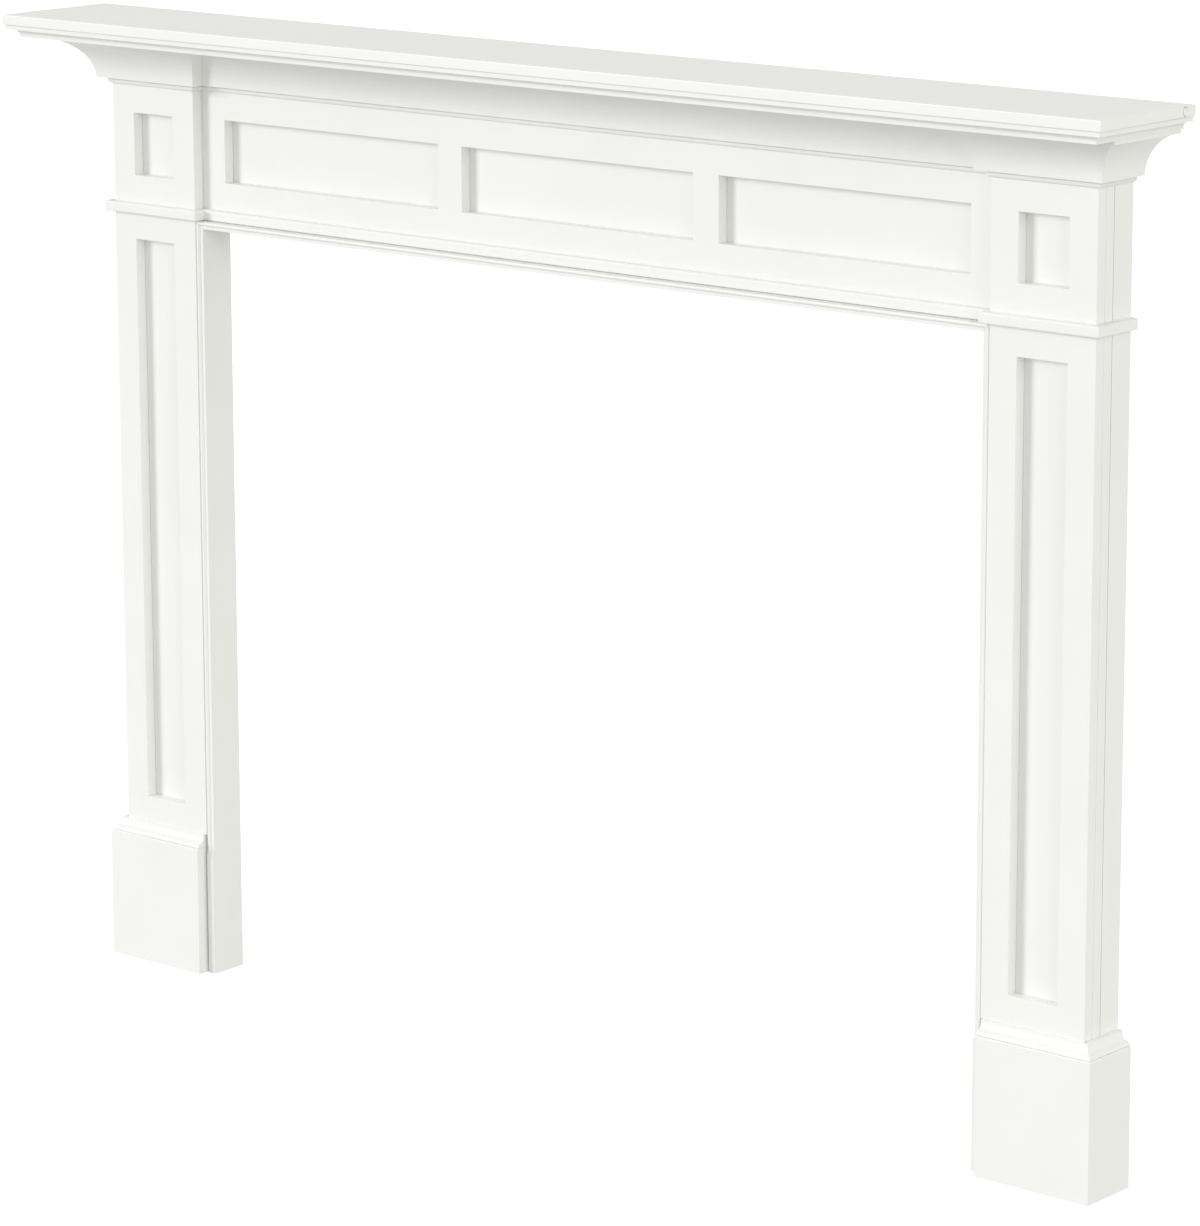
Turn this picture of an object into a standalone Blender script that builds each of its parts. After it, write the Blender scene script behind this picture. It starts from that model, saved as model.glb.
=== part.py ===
# Painted timber fireplace mantelpiece, as the separate boards and mouldings it is joined from.
# Metres, +Z up, front towards -Y. The origin is on the floor, below the middle of the whole piece.

import math

import bmesh
import bpy

# Joints: the hairline left between neighbouring pieces, and the eased edge of a sanded board
JOINT = 0.0003
EASE = 0.0006
EASE_SEGMENTS = 2
EASE_ANGLE = math.radians(40.0)
SMOOTH_ANGLE = math.radians(28.0)
FLAT_ANGLE = math.radians(0.05)
CUT_OVERSHOOT = 0.01

# Boards
BOARD = 0.0155
FRIEZE_BACK_BOARD = 0.006
LINER_BOARD = 0.0107
SHELF_BOARD = 0.013
EDGE_BOARD = 0.0157

# Frieze: three sunk panels between stiles of one width
PANEL_COUNT = 3
PANEL_WIDTH = 0.370
PANEL_HEIGHT = 0.082
FRIEZE_STILE = 0.040
FRIEZE_SETBACK = 0.0168

# Legs
LEG_DEPTH = 0.069
PILASTER_WIDTH = 0.1475
PILASTER_STILE = 0.0388
LEG_RAIL = 0.0347
BLOCK_RAIL = 0.0363
LEG_RECESS_HEIGHT = 0.757
LINER_DEPTH = 0.054

# Plinth blocks and their caps
PLINTH_HEIGHT = 0.1733
PLINTH_FRONT = 0.0147
PLINTH_SIDE = 0.0187
PLINTH_INSET = 0.003
PLINTH_ARRIS = 0.0016
CAP_HEIGHT = 0.0172
CAP_LEDGE = 0.0019
CAP_SET_IN = 0.0120
CAP_FILLET = 0.0045
CAP_SWELL = 0.0052
CAP_SWELL_DROP = 0.0045
CAP_ROUND = 0.0009
CAP_HOLLOW = 0.0017
CAP_FOOT = 0.0009

# Band round the leg and along the foot of the frieze
BAND_HEIGHT = 0.014
BAND_PROJECTION = 0.0092
BAND_ROUND = 0.0024

# Crown: bead strip below, hollow moulding above
CROWN_BEAD_HEIGHT = 0.0078
CROWN_BEAD_FLAT = 0.0006
CROWN_BEAD_SWELL = 0.0038
CROWN_HEIGHT = 0.0565
CROWN_PROJECTION = 0.0624
CROWN_FOOT = 0.0146
CROWN_LIP = 0.0030
CROWN_FILLET = 0.0050
CROWN_HOLLOW = 0.0117

# Shelf
SHELF_FRONT_OVERHANG = 0.118
SHELF_SIDE_OVERHANG = 0.0816
EDGE_TOP_INSET = 0.0032
EDGE_TOP_FILLET = 0.0058
EDGE_OVOLO_INSET = 0.0068
EDGE_OVOLO_SWELL = 0.0017
EDGE_FOOT_INSET = 0.0160
EDGE_FOOT_FILLET = 0.0051
EDGE_FOOT_QUIRK = 0.0007
PLUG_DIAMETER = 0.0095
PLUG_CLEARANCE = 0.0002
PLUG_DEPTH = 0.006
PLUG_PROUD = 0.0003
PLUG_CHAMFER = 0.0006
PLUG_FROM_WALL = 0.0205
PLUG_SIDES = 32

# Bead worked on the front corner of the opening liner
LINER_QUIRK = 0.0012
LINER_BEAD_WIDTH = 0.0056
LINER_BEAD_HEIGHT = 0.0026
LINER_BEAD_SWELL = 0.0025
LINER_BEAD_STEP = 0.0004
LINER_CORNER = 0.0004
BEAD_STOP = 0.160
BEAD_RUN_OUT = 0.012

# Paint: colour and roughness
WHITE = (0.87, 0.87, 0.855)
PLUG_WHITE = (0.80, 0.80, 0.78)
BOARD_SHEEN = 0.45
PANEL_SHEEN = 0.48
MOULDING_SHEEN = 0.42
PLUG_SHEEN = 0.38

# Steps along the curves
COVE_STEPS = 12
ROUND_STEPS = 5
BEAD_STEPS = 8

# Plan: the pilaster faces, the frieze face and the wall
FACE_Y = (SHELF_FRONT_OVERHANG - LEG_DEPTH) / 2.0
WALL_Y = FACE_Y + LEG_DEPTH
FRIEZE_Y = FACE_Y + FRIEZE_SETBACK
INNER_X = (PANEL_COUNT * PANEL_WIDTH + (PANEL_COUNT + 1) * FRIEZE_STILE) / 2.0
OUTER_X = INNER_X + PILASTER_WIDTH
SHELF_X = OUTER_X + SHELF_SIDE_OVERHANG
SHELF_Y = FACE_Y - SHELF_FRONT_OVERHANG

# Levels, from the floor up
CAP_Z = PLINTH_HEIGHT + JOINT
CAP_TOP = CAP_Z + CAP_HEIGHT
LEG_RECESS_Z = CAP_TOP + LEG_RAIL
BAND_Z = LEG_RECESS_Z + LEG_RECESS_HEIGHT + LEG_RAIL
BAND_TOP = BAND_Z + BAND_HEIGHT
PANEL_Z = BAND_TOP + BLOCK_RAIL
CROWN_BEAD_Z = PANEL_Z + PANEL_HEIGHT + BLOCK_RAIL
CROWN_Z = CROWN_BEAD_Z + CROWN_BEAD_HEIGHT + JOINT
FRAME_TOP = CROWN_Z + CROWN_HEIGHT
EDGE_Z = FRAME_TOP + JOINT
SHELF_Z = EDGE_Z + EDGE_BOARD + JOINT
SHELF_TOP = SHELF_Z + SHELF_BOARD
LINER_TOP = BAND_Z - JOINT
LINER_X = INNER_X - JOINT

SIDES = (("left", -1.0), ("right", 1.0))
MITRE_SLACK = JOINT / math.sqrt(2.0)


def clear_scene():
    for thing in list(bpy.data.objects):
        bpy.data.objects.remove(thing, do_unlink=True)


def paint(name, colour, roughness):
    finish = bpy.data.materials.new(name)
    finish.use_nodes = True
    shader = finish.node_tree.nodes["Principled BSDF"]
    shader.inputs["Base Color"].default_value = (*colour, 1.0)
    shader.inputs["Roughness"].default_value = roughness
    shader.inputs["Metallic"].default_value = 0.0
    return finish


def place_mesh(name, mesh_edit, finish):
    mesh_edit.normal_update()
    bmesh.ops.recalc_face_normals(mesh_edit, faces=mesh_edit.faces)
    mesh = bpy.data.meshes.new(name)
    mesh_edit.to_mesh(mesh)
    mesh_edit.free()
    mesh.shade_smooth()
    mesh.set_sharp_from_angle(angle=SMOOTH_ANGLE)
    mesh.materials.append(finish)
    thing = bpy.data.objects.new(name, mesh)
    bpy.context.scene.collection.objects.link(thing)
    return thing


def block_mesh(low, high):
    mesh_edit = bmesh.new()
    bmesh.ops.create_cube(mesh_edit, size=1.0)
    for vert in mesh_edit.verts:
        for axis in range(3):
            share = vert.co[axis] + 0.5
            vert.co[axis] = low[axis] + share * (high[axis] - low[axis])
    return mesh_edit


def ease_edges(thing, width=EASE):
    eased = thing.modifiers.new("eased edges", "BEVEL")
    eased.width = width
    eased.segments = EASE_SEGMENTS
    eased.limit_method = "ANGLE"
    eased.angle_limit = EASE_ANGLE


def board(name, low, high, finish):
    thing = place_mesh(name, block_mesh(low, high), finish)
    ease_edges(thing)
    return thing


def cut_from(thing, cutter):
    cutter.hide_render = True
    cutter.display_type = "WIRE"
    cut = thing.modifiers.new("cut " + cutter.name, "BOOLEAN")
    cut.operation = "DIFFERENCE"
    cut.solver = "EXACT"
    cut.object = cutter


def board_with_cuts(name, low, high, cuts, finish):
    thing = place_mesh(name, block_mesh(low, high), finish)
    for number, (cut_low, cut_high) in enumerate(cuts, start=1):
        cutter = place_mesh(f"{name}_cutter_{number}", block_mesh(cut_low, cut_high), finish)
        cut_from(thing, cutter)
    ease_edges(thing)
    return thing


def arc(start, end, rise, steps):
    """Points from start to end on an arc that rises to the left of the way from start to end."""
    span_a = end[0] - start[0]
    span_b = end[1] - start[1]
    chord = math.hypot(span_a, span_b)
    half_angle = 2.0 * math.atan2(2.0 * rise, chord)
    points = []
    for step in range(steps + 1):
        share = step / steps
        turn = half_angle * (1.0 - 2.0 * share)
        along = (1.0 - math.sin(turn) / math.sin(half_angle)) / 2.0
        lift = chord * (math.cos(turn) - math.cos(half_angle)) / math.sin(half_angle) / 2.0
        points.append((start[0] + along * span_a - lift * span_b / chord,
                       start[1] + along * span_b + lift * span_a / chord))
    return points


def moulding(name, section, corner, way, outward, length, mitres, side, finish, set_back=0.0):
    """A length of moulding on a wall line. section holds (projection, height) points.

    Each end is square (0), or mitred for an outer (1) or an inner (-1) corner.
    """
    mesh_edit = bmesh.new()
    ring = [mesh_edit.verts.new((0.0, out, height)) for out, height in section]
    profile = mesh_edit.faces.new(ring)
    swept = bmesh.ops.extrude_face_region(mesh_edit, geom=[profile])
    far_ring = {part for part in swept["geom"] if isinstance(part, bmesh.types.BMVert)}
    start_mitre, end_mitre = mitres
    for vert in mesh_edit.verts:
        out = vert.co.y
        if vert in far_ring:
            run = length + end_mitre * out - abs(end_mitre) * MITRE_SLACK - set_back
        else:
            run = -start_mitre * out + abs(start_mitre) * MITRE_SLACK
        x = corner[0] + way[0] * run + outward[0] * out
        y = corner[1] + way[1] * run + outward[1] * out
        vert.co = (side * x, y, vert.co.z)
    return place_mesh(name, mesh_edit, finish)


def course(name, section, finish):
    """A moulding that runs along the frieze and breaks forward round both legs."""
    for side_name, side in SIDES:
        moulding(f"{side_name}_{name}_outer_return", section, (OUTER_X, WALL_Y), (0, -1), (1, 0),
                 LEG_DEPTH, (0, 1), side, finish)
        moulding(f"{side_name}_{name}_front", section, (OUTER_X, FACE_Y), (-1, 0), (0, -1),
                 PILASTER_WIDTH, (1, 1), side, finish)
        moulding(f"{side_name}_{name}_inner_return", section, (INNER_X, FACE_Y), (0, 1), (-1, 0),
                 FRIEZE_SETBACK, (1, -1), side, finish)
    moulding(f"frieze_{name}", section, (INNER_X, FRIEZE_Y), (-1, 0), (0, -1),
             2.0 * INNER_X, (-1, -1), 1.0, finish)


def band_section():
    low, high, out = BAND_Z, BAND_TOP, BAND_PROJECTION
    curve = BAND_ROUND * (1.0 - math.sqrt(0.5))
    lower_round = arc((out - BAND_ROUND, low), (out, low + BAND_ROUND), -curve, ROUND_STEPS)
    upper_round = arc((out, high - BAND_ROUND), (out - BAND_ROUND, high), -curve, ROUND_STEPS)
    return [(JOINT, low)] + lower_round + upper_round + [(JOINT, high)]


def crown_bead_section():
    low, high = CROWN_BEAD_Z, CROWN_BEAD_Z + CROWN_BEAD_HEIGHT
    nose = arc((CROWN_BEAD_FLAT, low), (CROWN_BEAD_FLAT, high), -CROWN_BEAD_SWELL, BEAD_STEPS)
    return [(JOINT, low)] + nose + [(JOINT, high)]


def crown_section():
    low, high = CROWN_Z, FRAME_TOP
    cove_top = (CROWN_PROJECTION - CROWN_LIP, high - CROWN_FILLET)
    cove = arc((CROWN_FOOT, low), cove_top, CROWN_HOLLOW, COVE_STEPS)
    lip = [(CROWN_PROJECTION, high - CROWN_FILLET), (CROWN_PROJECTION, high)]
    return [(JOINT, low)] + cove + lip + [(JOINT, high)]


def plinth_section(projection):
    curve = PLINTH_ARRIS * (1.0 - math.sqrt(0.5))
    top_round = arc((projection, PLINTH_HEIGHT - PLINTH_ARRIS),
                    (projection - PLINTH_ARRIS, PLINTH_HEIGHT), -curve, ROUND_STEPS)
    return [(JOINT, 0.0), (projection, 0.0)] + top_round + [(JOINT, PLINTH_HEIGHT)]


def cap_section(projection):
    foot_out = projection - CAP_LEDGE
    top_out = projection - CAP_SET_IN
    swell_out = projection - CAP_SWELL
    swell_z = CAP_Z + CAP_SWELL_DROP + CAP_FOOT
    fillet_z = CAP_TOP - CAP_FILLET
    swell = arc((foot_out, CAP_Z + CAP_FOOT), (swell_out, swell_z), -CAP_ROUND, ROUND_STEPS)
    hollow = arc((swell_out, swell_z), (top_out, fillet_z), CAP_HOLLOW, ROUND_STEPS)
    return [(JOINT, CAP_Z), (foot_out, CAP_Z)] + swell + hollow[1:] + [(top_out, CAP_TOP), (JOINT, CAP_TOP)]


def plinths(block_paint, cap_paint):
    side_extra = PLINTH_SIDE - PLINTH_FRONT
    front_length = PILASTER_WIDTH + side_extra - PLINTH_INSET
    for side_name, side in SIDES:
        for part_name, section_of, finish in (("plinth", plinth_section, block_paint),
                                              ("plinth_cap", cap_section, cap_paint)):
            moulding(f"{side_name}_{part_name}_front", section_of(PLINTH_FRONT),
                     (OUTER_X + side_extra, FACE_Y), (-1, 0), (0, -1), front_length, (1, 0), side, finish)
            moulding(f"{side_name}_{part_name}_side", section_of(PLINTH_SIDE), (OUTER_X, WALL_Y),
                     (0, -1), (1, 0), LEG_DEPTH, (0, 1), side, finish, set_back=side_extra)


def mirrored_span(side, near_x, far_x):
    return min(side * near_x, side * far_x), max(side * near_x, side * far_x)


def pilaster_frames(finish):
    back_y = FACE_Y + BOARD
    recess_near = INNER_X + PILASTER_STILE
    recess_far = OUTER_X - PILASTER_STILE
    for side_name, side in SIDES:
        low_x, high_x = mirrored_span(side, INNER_X, OUTER_X)
        cut_low, cut_high = mirrored_span(side, recess_near, recess_far)
        notch_low, notch_high = mirrored_span(side, INNER_X - CUT_OVERSHOOT, INNER_X + PLINTH_INSET)
        front_y = FACE_Y - CUT_OVERSHOOT
        behind_y = back_y + CUT_OVERSHOOT
        cuts = [
            ((cut_low, front_y, LEG_RECESS_Z), (cut_high, behind_y, LEG_RECESS_Z + LEG_RECESS_HEIGHT)),
            ((cut_low, front_y, PANEL_Z), (cut_high, behind_y, PANEL_Z + PANEL_HEIGHT)),
            ((notch_low, front_y, -CUT_OVERSHOOT), (notch_high, behind_y, CAP_TOP)),
        ]
        board_with_cuts(f"{side_name}_pilaster_frame", (low_x, FACE_Y, 0.0), (high_x, back_y, FRAME_TOP),
                        cuts, finish)


def leg_boards(finish):
    backing_y = FACE_Y + BOARD + JOINT
    side_y = backing_y + BOARD + JOINT
    for side_name, side in SIDES:
        low_x, high_x = mirrored_span(side, INNER_X, OUTER_X)
        board(f"{side_name}_pilaster_panel", (low_x, backing_y, 0.0),
              (high_x, backing_y + BOARD, FRAME_TOP), finish)
        low_x, high_x = mirrored_span(side, OUTER_X - BOARD, OUTER_X)
        board(f"{side_name}_leg_side_board", (low_x, side_y, 0.0), (high_x, WALL_Y, FRAME_TOP), finish)


def frieze(finish, panel_finish):
    half = INNER_X - JOINT
    back_y = FRIEZE_Y + BOARD
    cuts = []
    for number in range(PANEL_COUNT):
        left = -INNER_X + FRIEZE_STILE + number * (PANEL_WIDTH + FRIEZE_STILE)
        cuts.append(((left, FRIEZE_Y - CUT_OVERSHOOT, PANEL_Z),
                     (left + PANEL_WIDTH, back_y + CUT_OVERSHOOT, PANEL_Z + PANEL_HEIGHT)))
    board_with_cuts("frieze_frame", (-half, FRIEZE_Y, BAND_Z), (half, back_y, FRAME_TOP), cuts, finish)
    panel_y = back_y + JOINT
    board("frieze_panel", (-half, panel_y, BAND_Z), (half, panel_y + FRIEZE_BACK_BOARD, FRAME_TOP),
          panel_finish)


def liner_sections():
    """The worked section of the opening liner and the square one below its stop.

    Points are (distance from the outer face, distance behind the leg's face).
    """
    strip = LINER_BEAD_HEIGHT + LINER_BEAD_STEP
    bead = arc((LINER_BEAD_STEP, LINER_BEAD_HEIGHT), (LINER_BEAD_STEP + LINER_BEAD_WIDTH, LINER_BEAD_HEIGHT),
               -LINER_BEAD_SWELL, BEAD_STEPS)
    front = [(0.0, LINER_QUIRK)] + bead
    front += [(bead[-1][0] + LINER_BEAD_STEP, strip), (LINER_BOARD - LINER_CORNER, strip)]
    front += [(LINER_BOARD, strip + LINER_CORNER)]
    back = [(LINER_BOARD, LINER_DEPTH), (0.0, LINER_DEPTH)]
    square = [(across, 0.0) for across, depth in front]
    return front + back, square + back


def loft(name, rings, finish):
    """A solid through rings of as many points each, closed at the first and the last ring."""
    mesh_edit = bmesh.new()
    loops = [[mesh_edit.verts.new(point) for point in ring] for ring in rings]
    mesh_edit.faces.new(loops[0])
    mesh_edit.faces.new(loops[-1])
    for near, far in zip(loops, loops[1:]):
        for k in range(len(near)):
            mesh_edit.faces.new((near[k - 1], near[k], far[k], far[k - 1]))
    mesh_edit.normal_update()
    bmesh.ops.recalc_face_normals(mesh_edit, faces=mesh_edit.faces)
    bmesh.ops.dissolve_limit(mesh_edit, angle_limit=FLAT_ANGLE, verts=mesh_edit.verts, edges=mesh_edit.edges)
    return place_mesh(name, mesh_edit, finish)


def jamb_ring(section, side, level, lean):
    """The section of a jamb at one level. With lean 1 it drops away from the outer face, for the mitre."""
    return [(side * (LINER_X - across), FACE_Y + depth, level - lean * across) for across, depth in section]


def opening_liner(finish):
    worked, square = liner_sections()
    for side_name, side in SIDES:
        rings = [jamb_ring(square, side, 0.0, 0.0),
                 jamb_ring(square, side, BEAD_STOP, 0.0),
                 jamb_ring(worked, side, BEAD_STOP + BEAD_RUN_OUT, 0.0),
                 jamb_ring(worked, side, LINER_TOP - MITRE_SLACK, 1.0)]
        loft(f"{side_name}_jamb_liner", rings, finish)
    head_rings = []
    for side_name, side in SIDES:
        head_rings.append([(side * (LINER_X - across - MITRE_SLACK), FACE_Y + depth, LINER_TOP - across)
                           for across, depth in worked])
    loft("head_liner", head_rings, finish)


def edge_board(finish):
    """The board below the shelf top, with its moulded edge on the front and both ends."""
    top = EDGE_Z + EDGE_BOARD
    fillet_foot = top - EDGE_TOP_FILLET
    ovolo = arc((EDGE_FOOT_INSET - EDGE_FOOT_QUIRK, EDGE_Z + EDGE_FOOT_FILLET), (EDGE_OVOLO_INSET, fillet_foot),
                -EDGE_OVOLO_SWELL, BEAD_STEPS)
    levels = [(EDGE_FOOT_INSET, EDGE_Z), (EDGE_FOOT_INSET, EDGE_Z + EDGE_FOOT_FILLET)]
    levels += ovolo + [(EDGE_TOP_INSET, fillet_foot), (EDGE_TOP_INSET, top)]
    rings = []
    for inset, height in levels:
        x, y = SHELF_X - inset, SHELF_Y + inset
        rings.append([(-x, y, height), (x, y, height), (x, WALL_Y, height), (-x, WALL_Y, height)])
    loft("shelf_edge_board", rings, finish)


def shelf(finish, plug_finish):
    top_board = place_mesh("shelf_board", block_mesh((-SHELF_X, SHELF_Y, SHELF_Z), (SHELF_X, WALL_Y, SHELF_TOP)),
                           finish)
    plug_y = WALL_Y - PLUG_FROM_WALL
    plug_z = (SHELF_Z + SHELF_TOP) / 2.0
    for side_name, side in SIDES:
        bore = round_peg(f"{side_name}_plug_bore", PLUG_DIAMETER / 2.0 + PLUG_CLEARANCE,
                         PLUG_DEPTH + JOINT + CUT_OVERSHOOT, side * (SHELF_X + CUT_OVERSHOOT), plug_y, plug_z,
                         side, finish)
        cut_from(top_board, bore)
        plug = round_peg(f"{side_name}_shelf_plug", PLUG_DIAMETER / 2.0, PLUG_DEPTH + PLUG_PROUD,
                         side * (SHELF_X + PLUG_PROUD), plug_y, plug_z, side, plug_finish)
        ease_edges(plug, PLUG_CHAMFER)
    ease_edges(top_board)


def round_peg(name, radius, length, outer_x, y, z, side, finish):
    """A peg along X whose outer end stands at outer_x and which runs in towards the middle."""
    mesh_edit = bmesh.new()
    bmesh.ops.create_cone(mesh_edit, cap_ends=True, segments=PLUG_SIDES, radius1=radius, radius2=radius,
                          depth=length)
    for vert in mesh_edit.verts:
        across, up, along = vert.co
        vert.co = (outer_x - side * (length / 2.0 - along), y + across, z + up)
    return place_mesh(name, mesh_edit, finish)


def build():
    clear_scene()
    shelf_paint = paint("shelf white paint", WHITE, MOULDING_SHEEN)
    frame_paint = paint("frame white paint", WHITE, BOARD_SHEEN)
    panel_paint = paint("panel white paint", WHITE, PANEL_SHEEN)
    moulding_paint = paint("moulding white paint", WHITE, MOULDING_SHEEN)
    plinth_paint = paint("plinth white paint", WHITE, BOARD_SHEEN)
    plug_paint = paint("plug white", PLUG_WHITE, PLUG_SHEEN)

    pilaster_frames(frame_paint)
    leg_boards(panel_paint)
    frieze(frame_paint, panel_paint)
    opening_liner(moulding_paint)
    plinths(plinth_paint, moulding_paint)
    course("band", band_section(), moulding_paint)
    course("crown_bead", crown_bead_section(), moulding_paint)
    course("crown", crown_section(), moulding_paint)
    edge_board(shelf_paint)
    shelf(shelf_paint, plug_paint)


build()
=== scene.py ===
import math

import bmesh
import bpy
from mathutils import Euler, Matrix, Vector


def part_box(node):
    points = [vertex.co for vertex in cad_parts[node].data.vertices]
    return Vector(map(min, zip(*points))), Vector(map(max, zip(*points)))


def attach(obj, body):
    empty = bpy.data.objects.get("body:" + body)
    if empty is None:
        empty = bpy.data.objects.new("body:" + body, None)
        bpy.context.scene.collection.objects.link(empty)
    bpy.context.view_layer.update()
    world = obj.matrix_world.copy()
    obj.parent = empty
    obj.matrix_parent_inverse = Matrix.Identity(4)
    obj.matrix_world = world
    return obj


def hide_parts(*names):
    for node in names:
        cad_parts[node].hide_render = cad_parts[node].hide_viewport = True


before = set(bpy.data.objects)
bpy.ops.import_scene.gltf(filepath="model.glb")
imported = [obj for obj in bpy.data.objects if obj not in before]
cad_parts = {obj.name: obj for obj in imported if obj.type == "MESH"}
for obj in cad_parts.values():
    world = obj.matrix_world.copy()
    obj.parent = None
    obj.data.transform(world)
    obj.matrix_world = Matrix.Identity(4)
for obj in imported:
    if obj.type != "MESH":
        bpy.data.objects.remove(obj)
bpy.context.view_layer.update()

# Paint bridges part of each joint, so the painted pieces stand closer together than the bare solids do
cadJoint = 0.0003
paintedJoint = 0.0002
creep = (cadJoint - paintedJoint) / 2.0
mitreJoint = 0.00002
mitreArris = 0.00006


def sizeOf(node):  # lowest and highest corner of a solid, as two vectors
    low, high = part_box(node)
    return Vector(low), Vector(high)


legLow, legHigh = sizeOf("right_pilaster_frame")
friezeLow, friezeHigh = sizeOf("frieze_frame")
wallY = sizeOf("right_leg_side_board")[1].y
innerX, outerX, faceY = legLow.x, legHigh.x, legLow.y
friezeY = friezeLow.y


# Tools of the bench

benchLook = {
    "smoothBelow": 50.0,    # degrees between two faces, up to which they shade as one curve
    "roundAbove": 40.0,     # degrees between two faces, from which their edge is rounded
    "roundsOnMoulding": 2,
    "roundsOnMitre": 1,
    "squareOn": 0.9,        # how far a face's normal runs along an axis when the face looks that way
    "slack": 0.001,         # how far past a height a face or a point is still picked
    "seed": 0.001,          # size of the plane that is merged into the first point of an outline
}


def pieceName(node):  # right_leg_side_board becomes rightLegSideBoard
    words = node.title().replace("_", "")
    return words[0].lower() + words[1:]


def clearBench():  # object mode, with nothing selected
    if bpy.context.object and bpy.context.object.mode != "OBJECT":
        bpy.ops.object.mode_set(mode="OBJECT")
    bpy.ops.object.select_all(action="DESELECT")


def takeUp(piece):  # object mode, with this piece alone selected
    clearBench()
    piece.select_set(True)
    bpy.context.view_layer.objects.active = piece


def openForWork(piece):
    takeUp(piece)
    bpy.ops.object.mode_set(mode="EDIT")
    bpy.ops.mesh.select_all(action="DESELECT")


def takePlace():  # the place, turn and size of the selected piece go into its mesh
    bpy.ops.object.transform_apply(location=True, rotation=True, scale=True)


def setDown():  # normals outwards, and back to object mode
    bpy.ops.mesh.select_all(action="SELECT")
    bpy.ops.mesh.normals_make_consistent(inside=False)
    bpy.ops.object.mode_set(mode="OBJECT")
    takePlace()


def pickPoints(piece, test):  # selects the points for which test(place) is true
    bpy.ops.mesh.select_mode(type="VERT")
    bpy.ops.mesh.select_all(action="DESELECT")
    mesh = bmesh.from_edit_mesh(piece.data)
    for vert in mesh.verts:
        vert.select = test(piece.matrix_world @ vert.co)
    mesh.select_flush_mode()
    bmesh.update_edit_mesh(piece.data)


def pickFaces(piece, test):  # selects the faces for which test(middle, normal) is true
    bpy.ops.mesh.select_mode(type="FACE")
    bpy.ops.mesh.select_all(action="DESELECT")
    mesh = bmesh.from_edit_mesh(piece.data)
    for face in mesh.faces:
        face.select = test(piece.matrix_world @ face.calc_center_median(), face.normal)
    mesh.select_flush_mode()
    bmesh.update_edit_mesh(piece.data)


def sliceAt(at, facing, away=False):
    # A cut right through. With away, the side that the cut faces goes and the cut is closed.
    bpy.ops.mesh.select_all(action="SELECT")
    bpy.ops.mesh.bisect(plane_co=at, plane_no=facing, use_fill=away, clear_outer=away)


def drawOn(way):  # what is selected is drawn out along a way
    bpy.ops.mesh.extrude_region_move(TRANSFORM_OT_translate={"value": way})


def pushOut(way):  # the whole outline is drawn out
    bpy.ops.mesh.select_all(action="SELECT")
    drawOn(way)


def shapeWith(piece, kind, settings):  # a modifier, set and applied
    takeUp(piece)
    bpy.ops.object.modifier_add(type=kind)
    modifier = piece.modifiers[-1]
    for field, value in settings.items():
        setattr(modifier, field, value)
    bpy.ops.object.modifier_apply(modifier=modifier.name)


def roundArrises(piece, width, rounds, above=benchLook["roundAbove"]):
    shapeWith(piece, "BEVEL", {"width": width, "segments": rounds, "limit_method": "ANGLE",
                               "angle_limit": math.radians(above)})


def smoothFaces(piece):  # curves shade smooth, and flat faces stay flat right up to their rounded edges
    takeUp(piece)
    bpy.ops.object.shade_smooth_by_angle(angle=math.radians(benchLook["smoothBelow"]))
    shapeWith(piece, "WEIGHTED_NORMAL", {"keep_sharp": True})


def drawOutline(name, corner, across, up, strokes):
    # One point pushed along straight strokes and swung round arcs, then closed and filled.
    # A stroke is (across, up), or (across, up, rise, steps) for an arc that rises to the left of its way.
    across, up = Vector(across), Vector(up)
    here = corner + across * strokes[0][0] + up * strokes[0][1]
    clearBench()
    bpy.ops.mesh.primitive_plane_add(size=benchLook["seed"], location=here)
    piece = bpy.context.object
    piece.name = name
    bpy.ops.object.mode_set(mode="EDIT")
    bpy.ops.mesh.select_mode(type="VERT")
    bpy.ops.mesh.select_all(action="SELECT")
    bpy.ops.mesh.merge(type="CENTER")
    for stroke in strokes[1:]:
        there = corner + across * stroke[0] + up * stroke[1]
        if len(stroke) == 2:
            bpy.ops.mesh.extrude_vertices_move(TRANSFORM_OT_translate={"value": there - here})
        else:
            rise, steps = stroke[2], stroke[3]
            span = there - here
            left = across.cross(up).cross(span).normalized()
            radius = (span.length_squared / 4.0 + rise * rise) / (2.0 * rise)
            centre = (here + there) / 2.0 + left * (rise - radius)
            swing = 4.0 * math.atan(2.0 * rise / span.length)
            bpy.ops.mesh.spin(steps=steps, angle=swing, center=centre, axis=across.cross(up))
        here = there
    bpy.ops.mesh.select_all(action="SELECT")
    bpy.ops.mesh.edge_face_add()
    return piece


def quarterRise(corner):  # the rise of a quarter round over a corner, to the right of its way
    return -corner * (1.0 - math.sqrt(0.5))


def turnTo(piece, degrees, start):  # turns a run about the origin and carries it to its place
    takeUp(piece)
    bpy.ops.transform.rotate(value=-math.radians(degrees), orient_axis="Z", center_override=(0.0, 0.0, 0.0))
    bpy.ops.transform.translate(value=start)
    takePlace()


def otherHand(piece):  # a copy for the left leg, mirrored across the middle
    takeUp(piece)
    bpy.ops.object.duplicate(linked=False)
    copy = bpy.context.object
    copy.name = piece.name.replace("right", "left")
    bpy.ops.transform.resize(value=(-1.0, 1.0, 1.0), center_override=(0.0, 0.0, 0.0))
    takePlace()
    openForWork(copy)
    setDown()
    return copy


# Paint

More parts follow.
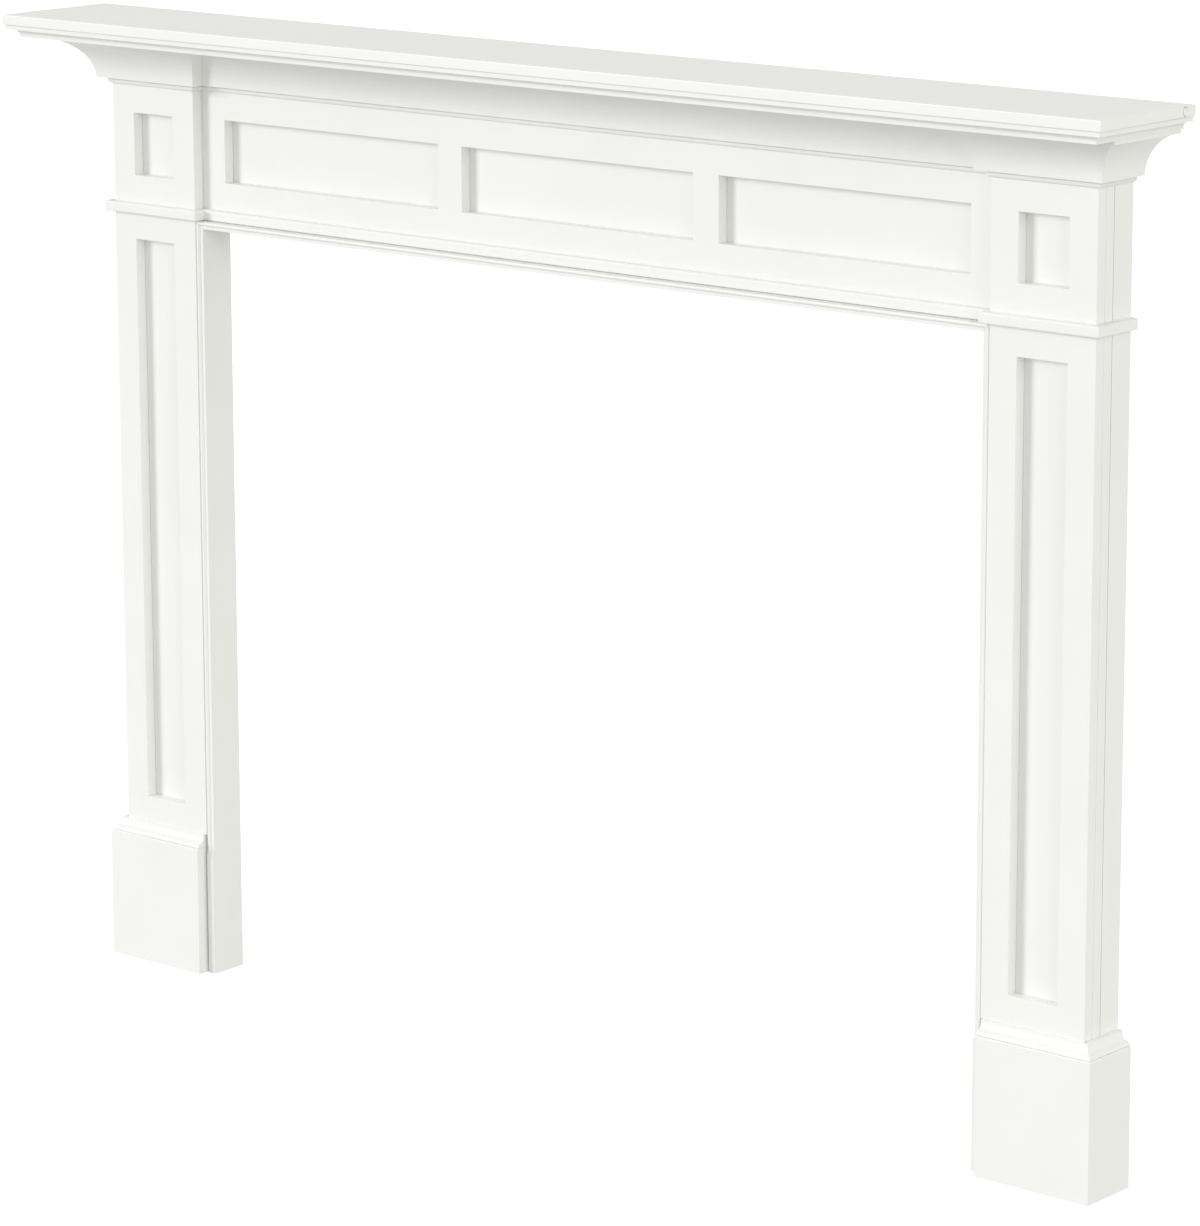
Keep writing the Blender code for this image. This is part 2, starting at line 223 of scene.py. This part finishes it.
class Wire:  # a shader socket that can be written in plain sums
    def __init__(self, tree, socket=None):
        self.tree = tree
        self.socket = socket

    def node(self, kind, settings=None, sockets=None, out=0):
        made = self.tree.nodes.new(kind)
        for field, value in (settings or {}).items():
            setattr(made, field, value)
        for place, value in (sockets or {}).items():
            if isinstance(value, Wire):
                self.tree.links.new(value.socket, made.inputs[place])
            else:
                made.inputs[place].default_value = value
        return Wire(self.tree, made.outputs[out]) if made.outputs else None

    def noise(self, size, detail, roughness):  # a cloudy pattern over the places that this socket gives
        return self.node("ShaderNodeTexNoise", None, {"Vector": self, "Scale": 1.0 / size, "Detail": detail,
                                                      "Roughness": roughness})

    def blend(self, first, second):  # a colour that goes from first to second as this socket goes from 0 to 1
        return self.node("ShaderNodeMix", {"data_type": "RGBA"}, {0: self, 6: first, 7: second}, 2)

    def sum(self, operation, first, second):
        return self.node("ShaderNodeMath", {"operation": operation}, {0: first, 1: second})

    def __add__(self, other):
        return self.sum("ADD", self, other)

    def __sub__(self, other):
        return self.sum("SUBTRACT", self, other)

    def __rsub__(self, other):
        return self.sum("SUBTRACT", other, self)

    def __mul__(self, other):
        return self.sum("MULTIPLY", self, other)

    __radd__ = __add__
    __rmul__ = __mul__


paintLook = {
    "white": (0.892, 0.894, 0.880, 1.0),
    "thinWhite": (0.874, 0.877, 0.860, 1.0),    # where the spray has left less paint
    "primer": (0.760, 0.752, 0.725, 1.0),       # the faces that go to the wall
    "wallFrom": 0.75,                           # a face that looks less to the wall than this is all paint
    "wallTo": 0.95,                             # and one that looks more to it is all primer
    "sandingSpacing": 0.0016,
    "sandingLength": 0.05,
    "sanding": {"size": 1.0, "detail": 3.0, "roughness": 0.55},     # size 1 is one spacing and length
    "peel": {"size": 0.0016, "detail": 1.0, "roughness": 0.4},      # orange peel
    "drift": {"size": 0.13, "detail": 3.0, "roughness": 0.5},       # slow changes along a board
    "driftInThin": 0.8,                         # what each pattern adds to where the paint is thin
    "peelInThin": 0.12,
    "sandingInThin": 0.08,
    "thinFrom": 0.38,
    "thinTo": 0.66,
    "sandingInPrimer": 0.7,                     # and to where the primer has paint on it
    "peelInPrimer": 0.2,
    "roughness": 0.40,
    "primerRoughness": 0.72,
    "peelInRoughness": 0.08,
    "driftInRoughness": 0.10,
    "specular": 0.45,
    "reliefDepth": 0.00004,
    "reliefStrength": 0.5,
    "peelInRelief": 0.8,
    "sandingInRelief": 0.2,
}


def paintFinish(name, axis, dulling=0.0, depth=1.0):
    # Sprayed satin paint over a board that was sanded along one axis: 0 along the front, 1 out from the wall,
    # 2 upright. dulling is added to the roughness, and depth scales the relief.
    look = paintLook
    finish = bpy.data.materials.new(name)
    finish.use_nodes = True
    tree = finish.node_tree
    tree.nodes.clear()
    bench = Wire(tree)
    place = bench.node("ShaderNodeTexCoord", out="Object")
    stretch = [1.0 / look["sandingSpacing"]] * 3
    stretch[axis] = 1.0 / look["sandingLength"]
    drawn = bench.node("ShaderNodeMapping", None, {"Vector": place, "Scale": stretch})
    sanding = drawn.noise(**look["sanding"])
    peel = place.noise(**look["peel"])
    drift = place.noise(**look["drift"])
    facing = bench.node("ShaderNodeNewGeometry", out="Normal")
    towardsWall = bench.node("ShaderNodeSeparateXYZ", None, {0: facing}, "Y")
    back = bench.node("ShaderNodeMapRange", {"interpolation_type": "SMOOTHSTEP"},
                      {"Value": towardsWall, "From Min": look["wallFrom"], "From Max": look["wallTo"]})
    unevenness = (drift * look["driftInThin"] + peel * look["peelInThin"]
                  + sanding * look["sandingInThin"])
    thinness = bench.node("ShaderNodeMapRange", {"clamp": True},
                          {"Value": unevenness, "From Min": look["thinFrom"], "From Max": look["thinTo"]})
    coat = thinness.blend(look["white"], look["thinWhite"])
    wear = sanding * look["sandingInPrimer"] + peel * look["peelInPrimer"]
    primed = wear.blend(look["primer"], look["thinWhite"])
    colour = back.blend(coat, primed)
    satin = (look["roughness"] + dulling + (peel - 0.5) * look["peelInRoughness"]
             + (drift - 0.5) * look["driftInRoughness"])
    roughness = satin + back * (look["primerRoughness"] - look["roughness"])
    height = peel * look["peelInRelief"] + sanding * look["sandingInRelief"]
    relief = bench.node("ShaderNodeBump", None, {"Strength": look["reliefStrength"],
                                                 "Distance": look["reliefDepth"] * depth,
                                                 "Height": height}, "Normal")
    surface = bench.node("ShaderNodeBsdfPrincipled", None, {"Base Color": colour, "Roughness": roughness,
                                                            "Normal": relief,
                                                            "Specular IOR Level": look["specular"]})
    bench.node("ShaderNodeOutputMaterial", None, {"Surface": surface})
    return finish


paints = {
    "alongBoards": paintFinish("frieze white satin", 0),
    "uprightBoards": paintFinish("pilaster white satin", 2),
    "sunkAlong": paintFinish("frieze panel white satin", 0, 0.04, 0.8),
    "sunkUpright": paintFinish("leg panel white satin", 2, 0.04, 0.8),
    "alongMouldings": paintFinish("moulding white satin", 0, -0.03, 0.7),
    "returnMouldings": paintFinish("return white satin", 1, -0.03, 0.7),
    "uprightMouldings": paintFinish("liner white satin", 2, -0.03, 0.7),
    "plinthBlocks": paintFinish("plinth white satin", 0, 0.02),
    "plinthReturns": paintFinish("plinth side white satin", 1, 0.02),
    "shelfTop": paintFinish("shelf white satin", 0, -0.04),
}
print("paints mixed:", len(paints))


def fit(piece, node, paint):  # the piece takes the node's place and its paint
    smoothFaces(piece)
    piece.data.materials.clear()
    piece.data.materials.append(paints[paint])
    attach(piece, "root")
    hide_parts(node)


def fitPair(rightPiece, part, paint):  # the right-hand piece, and its mirrored copy on the left
    leftPiece = otherHand(rightPiece)
    fit(rightPiece, "right_" + part, paint)
    fit(leftPiece, "left_" + part, paint)


# Boards

boardLook = {"arris": 0.0007, "rounds": 3, "hiddenArris": 0.0003, "seam": 0.0007}


def plainBoard(name, low, high):
    clearBench()
    bpy.ops.mesh.primitive_cube_add(size=1.0, location=(low + high) / 2.0, scale=high - low)
    piece = bpy.context.object
    piece.name = name
    takePlace()
    bpy.ops.object.mode_set(mode="EDIT")
    return piece


def backedBoard(node, seam=0.0):  # a plain board with crisp edges, its face set back by the seam
    low, high = sizeOf(node)
    piece = plainBoard(pieceName(node), low + Vector((0.0, seam, 0.0)), high)
    setDown()
    roundArrises(piece, boardLook["hiddenArris"], boardLook["rounds"])
    return piece


def cutWindow(piece, low, high):  # an opening right through a board, between two corners (x, z)
    for x in (low[0], high[0]):
        sliceAt((x, faceY, 0.0), (1.0, 0.0, 0.0))
    for z in (low[1], high[1]):
        sliceAt((0.0, faceY, z), (0.0, 0.0, 1.0))
    pickFaces(piece, lambda middle, normal: abs(normal.y) > benchLook["squareOn"]
              and low[0] < middle.x < high[0] and low[1] < middle.z < high[1])
    bpy.ops.mesh.bridge_edge_loops()


frameLook = {"stile": 0.0388, "legRail": 0.0347, "blockRail": 0.0363, "recessHeight": 0.757,
             "panelHeight": 0.082, "inset": 0.003}
capTop = sizeOf("right_plinth_cap_front")[1].z
recessFoot = capTop + frameLook["legRail"]
recessTop = recessFoot + frameLook["recessHeight"]
panelFoot = sizeOf("frieze_band")[1].z + frameLook["blockRail"]
panelTop = panelFoot + frameLook["panelHeight"]


def pilasterFrame():  # the front board of a leg: a tall recess, a short one, and a step for the plinth
    backY = sizeOf("right_pilaster_frame")[1].y + creep
    step = innerX + frameLook["inset"]
    strokes = [(step, 0.0), (outerX, 0.0), (outerX, legHigh.z), (innerX, legHigh.z),
               (innerX, capTop), (step, capTop)]
    piece = drawOutline("rightPilasterFrame", Vector((0.0, faceY, 0.0)), (1, 0, 0), (0, 0, 1), strokes)
    pushOut((0.0, backY - faceY, 0.0))
    near, far = innerX + frameLook["stile"], outerX - frameLook["stile"]
    cutWindow(piece, (near, recessFoot), (far, recessTop))
    cutWindow(piece, (near, panelFoot), (far, panelTop))
    setDown()
    roundArrises(piece, boardLook["arris"], boardLook["rounds"])
    return piece


rightLeg = {
    "pilaster_frame": (pilasterFrame(), "frame_paint", "uprightBoards"),
    "pilaster_panel": (backedBoard("right_pilaster_panel"), "panel_paint", "sunkUpright"),
    "leg_side_board": (backedBoard("right_leg_side_board", boardLook["seam"]), "panel_paint", "sunkUpright"),
}
for part, (piece, slot, paint) in rightLeg.items():
    fitPair(piece, part, paint)
print("legs boarded")

friezeLook = {"panels": 3, "panelWidth": 0.370, "stile": 0.040}


def friezeFrame():
    aside = Vector((creep, 0.0, 0.0))
    piece = plainBoard("friezeFrame", friezeLow - aside, friezeHigh + aside)
    pitch = friezeLook["panelWidth"] + friezeLook["stile"]
    for number in range(friezeLook["panels"]):
        left = (number - friezeLook["panels"] / 2.0) * pitch + friezeLook["stile"] / 2.0
        cutWindow(piece, (left, panelFoot), (left + friezeLook["panelWidth"], panelTop))
    setDown()
    roundArrises(piece, boardLook["arris"], boardLook["rounds"])
    return piece


fit(friezeFrame(), "frieze_frame", "alongBoards")
fit(backedBoard("frieze_panel"), "frieze_panel", "sunkAlong")
print("frieze framed")


# Mouldings

def run(node, outline, length, mitres, arris):
    # A length of moulding from the origin along +X, its back to the wall line. Each end is square (0) or
    # mitred for an outer (1) or an inner (-1) corner, and shorter there by the mitre's joint.
    reach = max(stroke[0] + sum(abs(rise) for rise in stroke[2:3]) for stroke in outline)
    piece = drawOutline(pieceName(node), Vector((-reach, 0.0, 0.0)), (0, -1, 0), (0, 0, 1), outline)
    pushOut((length + 2.0 * reach, 0.0, 0.0))
    setDown()
    roundArrises(piece, arris, benchLook["roundsOnMoulding"])
    openForWork(piece)
    sliceAt((abs(mitres[0]) * mitreJoint, 0.0, 0.0), (-1.0, mitres[0], 0.0), away=True)
    sliceAt((length - abs(mitres[1]) * mitreJoint, 0.0, 0.0), (1.0, mitres[1], 0.0), away=True)
    setDown()
    roundArrises(piece, mitreArris, benchLook["roundsOnMitre"])
    return piece


def course(part, outline, arris):  # a moulding along the frieze that breaks forward round both legs
    depth = wallY - faceY
    setBack = friezeY - faceY
    lengths = (
        ("outer_return", depth, (1, 0), 90.0, (outerX, faceY, 0.0), "returnMouldings"),
        ("front", outerX - innerX, (1, 1), 0.0, (innerX, faceY, 0.0), "alongMouldings"),
        ("inner_return", setBack, (-1, 1), -90.0, (innerX, friezeY, 0.0), "returnMouldings"),
    )
    for place, length, mitres, heading, start, paint in lengths:
        piece = run(f"right_{part}_{place}", outline, length, mitres, arris)
        turnTo(piece, heading, start)
        fitPair(piece, f"{part}_{place}", paint)
    piece = run("frieze_" + part, outline, 2.0 * innerX, (-1, -1), arris)
    turnTo(piece, 0.0, (-innerX, friezeY, 0.0))
    fit(piece, "frieze_" + part, "alongMouldings")


bandLook = {"corner": 0.0024, "reach": 0.0092, "steps": 8, "arris": 0.0003}


def bandOutline():
    low, high = sizeOf("frieze_band")
    corner, reach, steps = bandLook["corner"], bandLook["reach"], bandLook["steps"]
    rise = quarterRise(corner)
    return [(paintedJoint, low.z), (reach - corner, low.z), (reach, low.z + corner, rise, steps),
            (reach, high.z - corner), (reach - corner, high.z, rise, steps), (paintedJoint, high.z)]


course("band", bandOutline(), bandLook["arris"])

beadLook = {"flat": 0.0006, "swell": 0.0038, "steps": 14, "arris": 0.0002}


def crownBeadOutline():
    low, high = sizeOf("frieze_crown_bead")
    top = high.z + creep
    return [(paintedJoint, low.z), (beadLook["flat"], low.z),
            (beadLook["flat"], top, -beadLook["swell"], beadLook["steps"]), (paintedJoint, top)]


course("crown_bead", crownBeadOutline(), beadLook["arris"])

crownLook = {"reach": 0.0624, "foot": 0.0146, "lip": 0.0030, "fillet": 0.0050, "hollow": 0.0117,
             "steps": 28, "arris": 0.0003}


def crownOutline():
    low, high = sizeOf("frieze_crown")
    look = crownLook
    top = high.z + creep
    coveTop = high.z - look["fillet"]
    return [(paintedJoint, low.z), (look["foot"], low.z),
            (look["reach"] - look["lip"], coveTop, look["hollow"], look["steps"]),
            (look["reach"], coveTop), (look["reach"], top), (paintedJoint, top)]


course("crown", crownOutline(), crownLook["arris"])
print("band, bead and crown run")


# Plinths

plinthLook = {"front": 0.0147, "side": 0.0187, "arris": 0.0016, "steps": 8, "edge": 0.0004}
capLook = {"ledge": 0.0019, "setIn": 0.0120, "fillet": 0.0045, "swell": 0.0052, "swellDrop": 0.0045,
           "round": 0.0009, "hollow": 0.0017, "foot": 0.0009, "steps": 8, "edge": 0.00025}


def plinthOutline(reach):
    top = sizeOf("right_plinth_front")[1].z
    corner = plinthLook["arris"]
    return [(paintedJoint, 0.0), (reach, 0.0), (reach, top - corner),
            (reach - corner, top, quarterRise(corner), plinthLook["steps"]), (paintedJoint, top)]


def capOutline(reach):
    low, high = sizeOf("right_plinth_cap_front")
    look = capLook
    seat = low.z - creep
    foot = low.z + look["foot"]
    ledgeOut = reach - look["ledge"]
    swellOut, swellTop = reach - look["swell"], foot + look["swellDrop"]
    topOut, filletFoot = reach - look["setIn"], high.z - look["fillet"]
    return [(paintedJoint, seat), (ledgeOut, seat), (ledgeOut, foot),
            (swellOut, swellTop, -look["round"], look["steps"]),
            (topOut, filletFoot, look["hollow"], look["steps"]), (topOut, high.z), (paintedJoint, high.z)]


def plinthPair(part, outlineOf, edge, frontPaint, sidePaint):
    # The front piece and the side piece of one plinth, mitred where they meet
    extra = plinthLook["side"] - plinthLook["front"]
    start = sizeOf("right_plinth_front")[0].x
    front = run(f"right_{part}_front", outlineOf(plinthLook["front"]), outerX + extra - start, (0, 1), edge)
    turnTo(front, 0.0, (start, faceY, 0.0))
    fitPair(front, part + "_front", frontPaint)
    side = run(f"right_{part}_side", outlineOf(plinthLook["side"]), wallY - faceY - extra, (1, 0), edge)
    turnTo(side, 90.0, (outerX, faceY + extra, 0.0))
    fitPair(side, part + "_side", sidePaint)


plinthPair("plinth", plinthOutline, plinthLook["edge"], "plinthBlocks", "plinthReturns")
plinthPair("plinth_cap", capOutline, capLook["edge"], "alongMouldings", "returnMouldings")
print("plinths blocked and capped")


# Opening liner

linerLook = {"quirk": 0.0012, "beadWidth": 0.0056, "beadHeight": 0.0026, "beadFullness": 0.97,
             "step": 0.0004, "corner": 0.0004, "stop": 0.160, "runOut": 0.012, "pastWork": 0.0005,
             "steps": 14, "arris": 0.0002}


def linerOutline():  # from the outer face towards the opening, and back from the face of the leg
    low, high = sizeOf("right_jamb_liner")
    look = linerLook
    board, depth = high.x - low.x, high.y - faceY
    strip = look["beadHeight"] + look["step"]
    beadEnd = look["step"] + look["beadWidth"]
    beadRise = -look["beadHeight"] * look["beadFullness"]
    return [(-creep, look["quirk"]), (look["step"], look["beadHeight"]),
            (beadEnd, look["beadHeight"], beadRise, look["steps"]),
            (beadEnd + look["step"], strip), (board - look["corner"], strip),
            (board, strip + look["corner"]), (board, depth), (-creep, depth)]


def pickFoot(piece, height):  # the faces that look down or up and lie no higher than this
    pickFaces(piece, lambda middle, normal: abs(normal.z) > benchLook["squareOn"]
              and middle.z < height + benchLook["slack"])


def jambLiner():  # the bead runs out into a square foot, level with the face of the leg
    high = sizeOf("right_jamb_liner")[1]
    look = linerLook
    stop, beadFoot = look["stop"], look["stop"] + look["runOut"]
    corner = Vector((high.x, faceY, beadFoot))
    piece = drawOutline("rightJambLiner", corner, (-1, 0, 0), (0, 1, 0), linerOutline())
    pushOut((0.0, 0.0, high.z - beadFoot))
    sliceAt((high.x, faceY, high.z - paintedJoint / 2.0), (-1.0, 0.0, 1.0), away=True)
    pickFoot(piece, beadFoot)
    drawOn((0.0, 0.0, -look["runOut"]))
    workedY = faceY + (look["beadHeight"] + look["step"] + look["corner"] + look["pastWork"])
    pickPoints(piece, lambda place: place.z < stop + benchLook["slack"] and place.y < workedY)
    bpy.ops.transform.resize(value=(1.0, 0.0, 1.0), center_override=(0.0, faceY, stop))
    pickFoot(piece, stop)
    drawOn((0.0, 0.0, -stop))
    setDown()
    roundArrises(piece, look["arris"], benchLook["roundsOnMoulding"])
    return piece


def headLiner():
    jambX, top = sizeOf("right_jamb_liner")[1].x, sizeOf("head_liner")[1].z
    piece = drawOutline("headLiner", Vector((-jambX, faceY, top)), (0, 0, -1), (0, 1, 0), linerOutline())
    pushOut((2.0 * jambX, 0.0, 0.0))
    sliceAt((jambX - paintedJoint / 2.0, faceY, top), (1.0, 0.0, -1.0), away=True)
    sliceAt((paintedJoint / 2.0 - jambX, faceY, top), (-1.0, 0.0, -1.0), away=True)
    setDown()
    roundArrises(piece, linerLook["arris"], benchLook["roundsOnMoulding"])
    return piece


fitPair(jambLiner(), "jamb_liner", "uprightMouldings")
fit(headLiner(), "head_liner", "alongMouldings")
print("opening lined")


# Shelf

edgeLook = {"topInset": 0.0032, "topFillet": 0.0058, "ovoloInset": 0.0068, "swell": 0.0017,
            "footInset": 0.0160, "footFillet": 0.0051, "quirk": 0.0007, "steps": 14, "arris": 0.0003}


def arcPoints(start, end, rise, steps):
    # Points from start to end, on an arc that rises to the left of the way
    spanA, spanB = end[0] - start[0], end[1] - start[1]
    chord = math.hypot(spanA, spanB)
    half = 2.0 * math.atan2(2.0 * rise, chord)
    points = []
    for step in range(steps + 1):
        turn = half * (1.0 - 2.0 * step / steps)
        along = 0.5 - 0.5 * math.sin(turn) / math.sin(half)
        lift = chord * 0.5 * (math.cos(turn) - math.cos(half)) / math.sin(half)
        points.append((start[0] + along * spanA - lift * spanB / chord,
                       start[1] + along * spanB + lift * spanA / chord))
    return points


def shelfEdge():  # the moulded board below the top, worked on its front and both ends
    look = edgeLook
    low, high = sizeOf("shelf_edge_board")
    shelfLow, shelfHigh = sizeOf("shelf_board")
    width, depth = shelfHigh.x, wallY - shelfLow.y
    foot, top = low.z - creep, high.z + creep
    filletFoot = high.z - look["topFillet"]
    ovoloFoot = (look["footInset"] - look["quirk"], low.z + look["footFillet"])
    levels = [(look["footInset"], foot), (look["footInset"], low.z + look["footFillet"])]
    levels += arcPoints(ovoloFoot, (look["ovoloInset"], filletFoot), -look["swell"], look["steps"])
    levels += [(look["topInset"], filletFoot), (look["topInset"], top)]
    inset, height = levels[0]
    clearBench()
    bpy.ops.mesh.primitive_plane_add(size=1.0, location=(0.0, wallY - (depth - inset) / 2.0, height))
    piece = bpy.context.object
    piece.name = "shelfEdge"
    bpy.ops.transform.resize(value=(2.0 * (width - inset), depth - inset, 1.0))
    takePlace()
    bpy.ops.object.mode_set(mode="EDIT")
    bpy.ops.mesh.select_all(action="SELECT")
    for nextInset, nextHeight in levels[1:]:
        drawOn((0.0, 0.0, nextHeight - height))
        growth = ((width - nextInset) / (width - inset), (depth - nextInset) / (depth - inset), 1.0)
        bpy.ops.transform.resize(value=growth, center_override=(0.0, wallY, nextHeight))
        inset, height = nextInset, nextHeight
    setDown()
    roundArrises(piece, look["arris"], benchLook["roundsOnMoulding"])
    return piece


plugLook = {"diameter": 0.0095, "bore": 0.0105, "fromWall": 0.0205, "sides": 48, "rim": 0.0010,
            "groove": 0.0011, "comesBack": 0.8, "roundAbove": 30.0, "arris": 0.0002}
shelfLook = {"arris": 0.0009, "rounds": 4}


def lyingRod(diameter, length, middle):  # a round rod that lies along the shelf
    clearBench()
    bpy.ops.mesh.primitive_cylinder_add(vertices=plugLook["sides"], radius=diameter / 2.0, depth=length,
                                        location=middle, rotation=(0.0, math.pi / 2.0, 0.0))
    return bpy.context.object


def shelfBoard():  # bored in both ends for the plugs
    low, high = sizeOf("shelf_board")
    boreDepth = high.x - sizeOf("right_shelf_plug")[0].x
    plugY, plugZ = wallY - plugLook["fromWall"], (low.z + high.z) / 2.0
    piece = plainBoard("shelfBoard", low, high)
    setDown()
    for endX in (-high.x, high.x):
        drill = lyingRod(plugLook["bore"], 2.0 * boreDepth, (endX, plugY, plugZ))
        shapeWith(piece, "BOOLEAN", {"object": drill})
        bpy.data.objects.remove(drill, do_unlink=True)
    roundArrises(piece, shelfLook["arris"], shelfLook["rounds"])
    return piece


def shelfPlug():  # the round plug in the right-hand end, with a turned ring in its face
    low, high = sizeOf("right_shelf_plug")
    look = plugLook
    piece = lyingRod(look["diameter"], high.x - low.x, (low + high) / 2.0)
    piece.name = "rightShelfPlug"
    takePlace()
    bpy.ops.object.mode_set(mode="EDIT")
    pickFaces(piece, lambda middle, normal: normal.x > benchLook["squareOn"])
    bpy.ops.mesh.inset(thickness=look["rim"], depth=0.0)
    for sink in (-look["groove"], 0.0, look["groove"] * look["comesBack"]):
        bpy.ops.mesh.inset(thickness=look["groove"] / 2.0, depth=sink)
    setDown()
    roundArrises(piece, look["arris"], benchLook["roundsOnMoulding"], look["roundAbove"])
    return piece


fit(shelfEdge(), "shelf_edge_board", "alongMouldings")
fit(shelfBoard(), "shelf_board", "shelfTop")
fitPair(shelfPlug(), "shelf_plug", "returnMouldings")
print("shelf laid")


# Floor, light and camera

studio = {"floorSize": 80.0, "floorWhite": (0.90, 0.90, 0.90, 1.0), "floorRoughness": 0.9,
          "floorGlow": 0.36, "glowColour": (1.0, 1.0, 1.0, 1.0), "skyColour": (1.0, 1.0, 0.965, 1.0),
          "skyStrength": 0.50, "lampPlace": (0.0, -3.0, 3.0)}
lamps = {  # degrees: turn to the right of the front, height above the floor, softness the lamp's own width
    "key light": {"turn": -38.0, "height": 14.0, "softness": 22.0, "strength": 1.45,
                  "colour": (0.985, 0.99, 1.0)},
    "fill light": {"turn": 44.0, "height": 14.0, "softness": 44.0, "strength": 0.36,
                   "colour": (0.99, 1.0, 0.985)},
    "side light": {"turn": 80.0, "height": 10.0, "softness": 60.0, "strength": 1.34,
                   "colour": (1.0, 1.0, 0.95)},
    "top light": {"turn": 0.0, "height": 88.0, "softness": 30.0, "strength": 0.88,
                  "colour": (1.0, 1.0, 0.97)},
}


def layFloor():
    clearBench()
    bpy.ops.mesh.primitive_plane_add(size=studio["floorSize"], location=(0.0, 0.0, 0.0))
    floor = bpy.context.object
    floor.name = "floor"
    floor.visible_diffuse = False
    pale = bpy.data.materials.new("pale floor")
    pale.use_nodes = True
    shader = pale.node_tree.nodes["Principled BSDF"]
    shader.inputs["Base Color"].default_value = studio["floorWhite"]
    shader.inputs["Roughness"].default_value = studio["floorRoughness"]
    shader.inputs["Emission Color"].default_value = studio["glowColour"]
    shader.inputs["Emission Strength"].default_value = studio["floorGlow"]
    floor.data.materials.append(pale)


def hangLights():
    sky = bpy.data.worlds.new("studio")
    sky.use_nodes = True
    sky.node_tree.nodes["Background"].inputs["Color"].default_value = studio["skyColour"]
    sky.node_tree.nodes["Background"].inputs["Strength"].default_value = studio["skyStrength"]
    bpy.context.scene.world = sky
    for name, lamp in lamps.items():
        clearBench()
        bpy.ops.object.light_add(type="SUN", location=studio["lampPlace"])
        light = bpy.context.object
        light.name = name
        light.data.energy = lamp["strength"]
        light.data.angle = math.radians(lamp["softness"])
        light.data.color = lamp["colour"]
        light.rotation_euler = (math.radians(90.0 - lamp["height"]), 0.0, math.radians(lamp["turn"]))


# In pixels of the 1200 by 1226 picture: its height, the focal length, and the row that the camera aims at
view = {"place": (3.9591, -4.6058, 1.9774), "yaw": 40.152, "pitch": 11.475, "roll": 0.152, "sensor": 36.0,
        "pixelsTall": 1226.0, "focalPixels": 5047.0, "aimRow": 490.4, "farthest": 200.0}


def setCamera():
    clearBench()
    bpy.ops.object.camera_add(location=view["place"])
    camera = bpy.context.object
    tall = view["pixelsTall"]
    camera.data.sensor_width = view["sensor"]
    camera.data.lens = view["focalPixels"] * view["sensor"] / tall
    camera.data.shift_y = (view["aimRow"] - tall / 2.0) / tall
    camera.data.clip_end = view["farthest"]
    aim = Euler((math.radians(90.0 - view["pitch"]), 0.0, math.radians(view["yaw"]))).to_matrix()
    camera.rotation_euler = (aim @ Matrix.Rotation(-math.radians(view["roll"]), 3, "Z")).to_euler()
    bpy.context.scene.camera = camera


layFloor()
hangLights()
setCamera()
bpy.context.scene.view_settings.view_transform = "Standard"
print("stage set")
